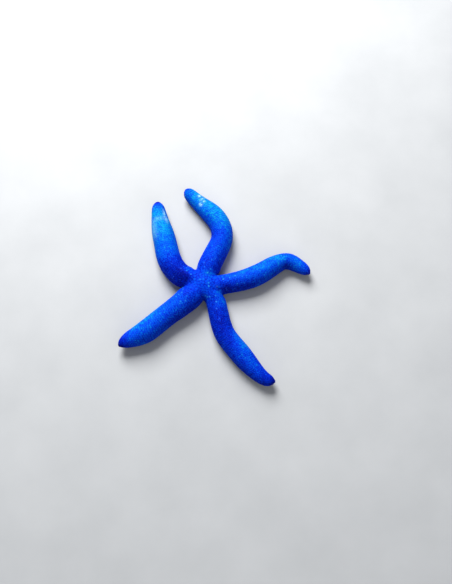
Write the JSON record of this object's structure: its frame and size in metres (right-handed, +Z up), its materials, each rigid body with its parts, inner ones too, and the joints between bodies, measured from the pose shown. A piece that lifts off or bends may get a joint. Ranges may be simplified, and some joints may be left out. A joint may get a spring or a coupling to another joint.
{
  "type": "blue starfish",
  "caption": "Blue sea star at rest, with long, gently bent, rounded arms round a small disc, a groove under each arm and a mouth below.",
  "frame": {"origin": "middle of the animal's outline on the ground, at the level it rests on", "axes": "+Z up, from the mouth side to the upper side; +Y along the longer way across the outline, towards the top arm (arm b); +X towards arm c"},
  "size_m": [0.2024, 0.2184, 0.0236],
  "materials": {
    "disc_skin": "matte, wet sheen",
    "arm_skin": "matte, wet sheen",
    "arm_skin_middle": "matte, wet sheen",
    "tip_skin": "matte, wet sheen",
    "madreporite": "matte, chalky",
    "eye_spot": "glossy",
    "mouth_membrane": "satin"
  },
  "bodies": {
    "root": {"disc": "disc_skin", "arm_a_base": "arm_skin", "arm_a_middle": "arm_skin_middle", "arm_a_tip": "tip_skin", "arm_b_base": "arm_skin", "arm_b_middle": "arm_skin_middle", "arm_b_tip": "tip_skin", "arm_c_base": "arm_skin", "arm_c_middle": "arm_skin_middle", "arm_c_tip": "tip_skin", "arm_d_base": "arm_skin", "arm_d_middle": "arm_skin_middle", "arm_d_tip": "tip_skin", "arm_e_base": "arm_skin", "arm_e_middle": "arm_skin_middle", "arm_e_tip": "tip_skin", "madreporite": "madreporite", "eye_a": "eye_spot", "eye_b": "eye_spot", "eye_c": "eye_spot", "eye_d": "eye_spot", "eye_e": "eye_spot", "mouth": "mouth_membrane"}
  },
  "joints": []
}
